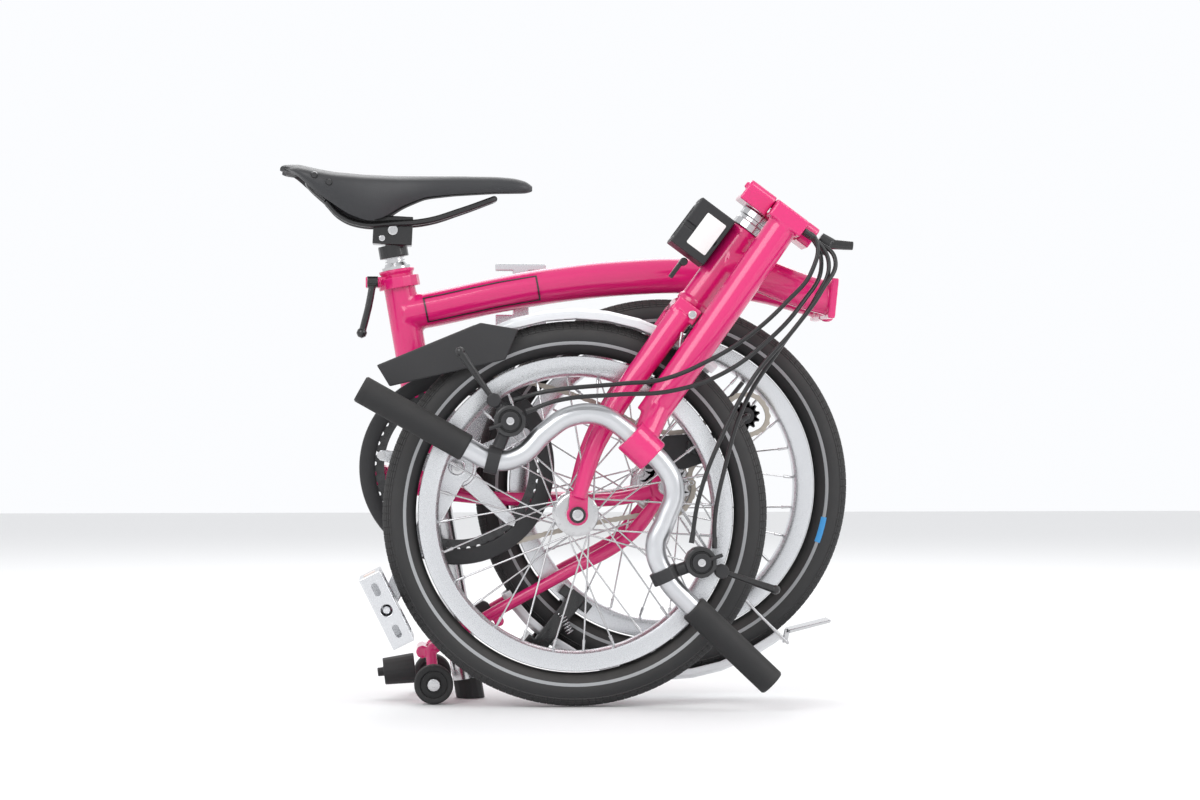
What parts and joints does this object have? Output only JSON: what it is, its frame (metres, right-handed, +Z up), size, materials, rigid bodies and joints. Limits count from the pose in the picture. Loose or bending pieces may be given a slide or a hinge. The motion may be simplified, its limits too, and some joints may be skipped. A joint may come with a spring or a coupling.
{
  "type": "folding bicycle",
  "caption": "Small-wheeled folding bicycle in its folded state, with a hinged main frame, a folding handlepost, a sliding seat post and a swinging rear frame.",
  "frame": {"origin": "middle of the folded bicycle's outline on the ground", "axes": "+X from the saddle's tail to its nose, +Y to the bicycle's left side, +Z up"},
  "size_m": [0.635, 0.3012, 0.5966],
  "materials": {
    "pink_paint": "gloss",
    "alloy": "satin",
    "steel": "satin",
    "tyre_rubber": "matte",
    "rubber": "matte",
    "black_plastic": "matte",
    "black_metal": "satin",
    "guard_silver": "satin",
    "saddle_skin": "satin"
  },
  "bodies": {
    "main_frame": {"main_frame": "pink_paint", "seat_clamp": "pink_paint", "main_clamp_plate": "alloy"},
    "seat_clamp_lever": {"seat_clamp_lever": "black_metal"},
    "main_clamp_lever": {"main_clamp_lever": "black_metal"},
    "front_frame": {"front_frame": "pink_paint", "headset_upper": "steel", "luggage_block": "black_plastic"},
    "luggage_catch": {"luggage_catch": "black_metal"},
    "fork": {"fork": "pink_paint", "front_brake": "black_metal", "front_mudguard": "guard_silver", "front_mud_flap": "rubber", "front_axle": "black_metal"},
    "front_wheel": {"front_tyre": "tyre_rubber", "front_rim": "alloy", "front_hub": "steel"},
    "handlepost": {"handlepost": "pink_paint", "handlebar": "alloy", "left_grip": "rubber", "right_grip": "rubber", "left_control": "black_plastic", "right_control": "black_plastic", "front_brake_cable": "rubber", "rear_brake_cable": "rubber", "gear_cable_near": "rubber", "gear_cable_far": "rubber"},
    "left_brake_lever": {"left_brake_lever": "black_metal"},
    "right_brake_lever": {"right_brake_lever": "black_metal"},
    "left_shifter": {"left_shifter": "black_plastic"},
    "right_shifter": {"right_shifter": "black_plastic"},
    "stem_clamp_lever": {"stem_clamp_lever": "black_metal"},
    "seat_post": {"seat_post": "alloy", "seat_post_bung": "rubber", "saddle_clamp": "black_metal", "saddle_rails": "black_metal", "saddle": "saddle_skin"},
    "cranks": {"right_crank": "alloy", "left_crank": "alloy", "chain_ring": "black_metal", "chain_guard": "black_plastic"},
    "right_pedal": {"right_pedal": "alloy"},
    "left_pedal": {"left_pedal": "black_plastic"},
    "rear_frame": {"rear_frame": "pink_paint", "suspension_block": "rubber", "stop_disc": "black_plastic", "rear_brake": "black_metal", "rear_mudguard": "guard_silver", "rear_mudguard_stay": "steel", "rear_axle": "steel", "chain": "steel", "tensioner_body": "black_plastic", "roller_axle": "steel"},
    "rear_wheel": {"rear_tyre": "tyre_rubber", "rear_rim": "alloy", "rear_hub": "steel"},
    "tensioner_arm": {"tensioner_arm": "black_metal"},
    "jockey_wheel": {"jockey_wheel": "black_plastic"},
    "near_roller": {"near_roller": "rubber"},
    "far_roller": {"far_roller": "rubber"}
  },
  "joints": [
    {"name": "main_fold", "type": "hinge", "parent": "main_frame", "child": "front_frame", "pos_m": [0.2895, 0.00261, 0.4446], "axis": [0.1045, 0, 0.9945], "range_deg": [0, 180]},
    {"name": "steering", "type": "hinge", "parent": "front_frame", "child": "fork", "pos_m": [0.13, -0.05339, 0.4346], "axis": [0.5966, 0, 0.8025], "range_deg": [-8, 10]},
    {"name": "stem_fold", "type": "hinge", "parent": "fork", "child": "handlepost", "pos_m": [0.21531, -0.07839, 0.54936], "axis": [-0.8025, 0, 0.5966], "range_deg": [0, 180]},
    {"name": "front_wheel_spin", "type": "hinge", "parent": "fork", "child": "front_wheel", "pos_m": [0.0045, -0.05339, 0.2102], "axis": [0, 1, 0], "continuous": true},
    {"name": "rear_fold", "type": "hinge", "parent": "main_frame", "child": "rear_frame", "pos_m": [-0.2075, 0.05861, 0.2496], "axis": [0, 1, 0], "range_deg": [0, 1]},
    {"name": "rear_wheel_spin", "type": "hinge", "parent": "rear_frame", "child": "rear_wheel", "pos_m": [0.1075, 0.05861, 0.2376], "axis": [0, 1, 0], "continuous": true},
    {"name": "seat_post_slide", "type": "slide", "parent": "main_frame", "child": "seat_post", "axis": [-0.1703, 0, 0.9854], "range_m": [0, 0.38]},
    {"name": "crank_spin", "type": "hinge", "parent": "main_frame", "child": "cranks", "pos_m": [-0.1235, 0.05861, 0.2596], "axis": [0, 1, 0], "range_deg": [0, 60]},
    {"name": "right_pedal_spin", "type": "hinge", "parent": "cranks", "child": "right_pedal", "pos_m": [-0.20073, 0.05861, 0.10816], "axis": [0, 1, 0], "range_deg": [-15, 15]},
    {"name": "left_pedal_fold", "type": "hinge", "parent": "cranks", "child": "left_pedal", "pos_m": [-0.04627, 0.13561, 0.41104], "axis": [-1, 0, 0], "range_deg": [0, 90]},
    {"name": "left_brake_pull", "type": "hinge", "parent": "handlepost", "child": "left_brake_lever", "pos_m": [-0.0865, -0.12739, 0.3336], "axis": [0, -1, 0], "range_deg": [0, 25], "stiffness_Nm_per_rad": 0.6, "springref_deg": -20.05},
    {"name": "right_brake_pull", "type": "hinge", "parent": "handlepost", "child": "right_brake_lever", "pos_m": [0.1575, -0.12739, 0.1506], "axis": [0, 1, 0], "range_deg": [0, 25], "stiffness_Nm_per_rad": 0.6, "springref_deg": -20.05},
    {"name": "left_shift", "type": "hinge", "parent": "handlepost", "child": "left_shifter", "pos_m": [-0.0695, -0.12739, 0.3116], "axis": [0, 1, 0], "range_deg": [-30, 30]},
    {"name": "right_shift", "type": "hinge", "parent": "handlepost", "child": "right_shifter", "pos_m": [0.1345, -0.12739, 0.1606], "axis": [0, 1, 0], "range_deg": [-30, 30]},
    {"name": "seat_clamp_open", "type": "hinge", "parent": "main_frame", "child": "seat_clamp_lever", "pos_m": [-0.21691, 0.02961, 0.4656], "axis": [-1, 0, 0], "range_deg": [0, 130]},
    {"name": "main_clamp_turn", "type": "hinge", "parent": "main_frame", "child": "main_clamp_lever", "pos_m": [0.28929, 0.09861, 0.44261], "axis": [0, 1, 0], "range_deg": [-180, 180]},
    {"name": "stem_clamp_turn", "type": "hinge", "parent": "fork", "child": "stem_clamp_lever", "pos_m": [0.26868, -0.07839, 0.50968], "axis": [0.8025, 0, -0.5966], "range_deg": [-90, 90]},
    {"name": "luggage_release", "type": "hinge", "parent": "front_frame", "child": "luggage_catch", "pos_m": [0.12259, -0.05339, 0.48497], "axis": [0, 1, 0], "range_deg": [0, 20], "stiffness_Nm_per_rad": 0.3, "springref_deg": -17.19},
    {"name": "tensioner_swing", "type": "hinge", "parent": "rear_frame", "child": "tensioner_arm", "pos_m": [0.1395, -0.01039, 0.2836], "axis": [0, 1, 0], "range_deg": [0, 2], "stiffness_Nm_per_rad": 2, "springref_deg": -17.19},
    {"name": "jockey_spin", "type": "hinge", "parent": "tensioner_arm", "child": "jockey_wheel", "pos_m": [0.1985, 0.01461, 0.3166], "axis": [0, 1, 0], "continuous": true},
    {"name": "near_roller_spin", "type": "hinge", "parent": "rear_frame", "child": "near_roller", "pos_m": [-0.1495, -0.01639, 0.0216], "axis": [0, 1, 0], "continuous": true},
    {"name": "far_roller_spin", "type": "hinge", "parent": "rear_frame", "child": "far_roller", "pos_m": [-0.1495, 0.13361, 0.0216], "axis": [0, 1, 0], "continuous": true}
  ]
}
